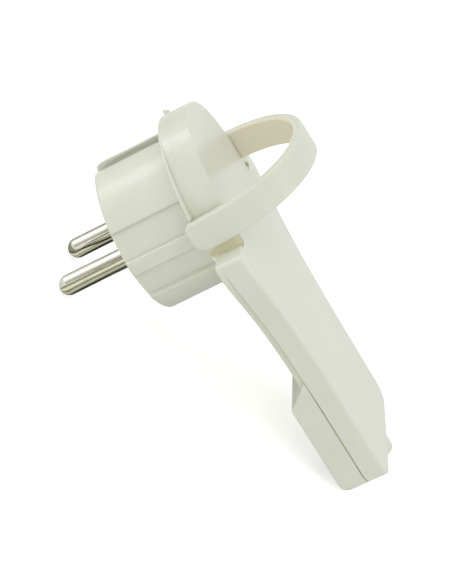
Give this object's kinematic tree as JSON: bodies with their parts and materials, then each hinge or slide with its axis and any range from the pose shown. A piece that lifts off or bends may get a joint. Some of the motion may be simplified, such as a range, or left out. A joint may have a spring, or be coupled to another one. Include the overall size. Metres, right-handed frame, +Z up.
{
  "type": "flat earthed mains plug with pull ring",
  "caption": "Extra-flat earthed mains plug: a short round body with round pins, a flat cable arm and a fold-out pull ring.",
  "frame": {"origin": "bottom centre of the bounding box, on the surface that the plug rests on", "axes": "+Z up, +Y towards the plug's head and away from the cable arm, +X across the plug; the plug rests on its two pin tips and on the far edge of the clamp block, so its own frame is tipped 25 degrees about X"},
  "size_m": [0.0564, 0.0978, 0.0626],
  "materials": {
    "ivory_plastic": "moulded, glossy ivory white",
    "nickel_plate": "bright nickel plating",
    "brass": "plain turned brass",
    "zinc_steel": "zinc-plated steel"
  },
  "bodies": {
    "plug": {"front_shell": "ivory_plastic", "back_cover": "ivory_plastic", "contact_pin_left": "nickel_plate", "contact_pin_right": "nickel_plate", "earth_bracket": "nickel_plate", "earth_washer": "brass", "earth_nut": "brass", "earth_screw": "zinc_steel", "terminal_screw_left": "zinc_steel", "terminal_screw_right": "zinc_steel", "cable_clamp_bar": "ivory_plastic", "clamp_screw_left": "zinc_steel", "clamp_screw_right": "zinc_steel", "cover_screw_middle": "zinc_steel", "cover_screw_left": "zinc_steel", "cover_screw_right": "zinc_steel"},
    "ring": {"pull_ring": "ivory_plastic"}
  },
  "joints": [
    {"name": "ring_hinge", "type": "hinge", "parent": "plug", "child": "ring", "pos_m": [0, 0.02438, 0.03981], "axis": [1, 0, 0], "range_deg": [-87, 0]}
  ]
}
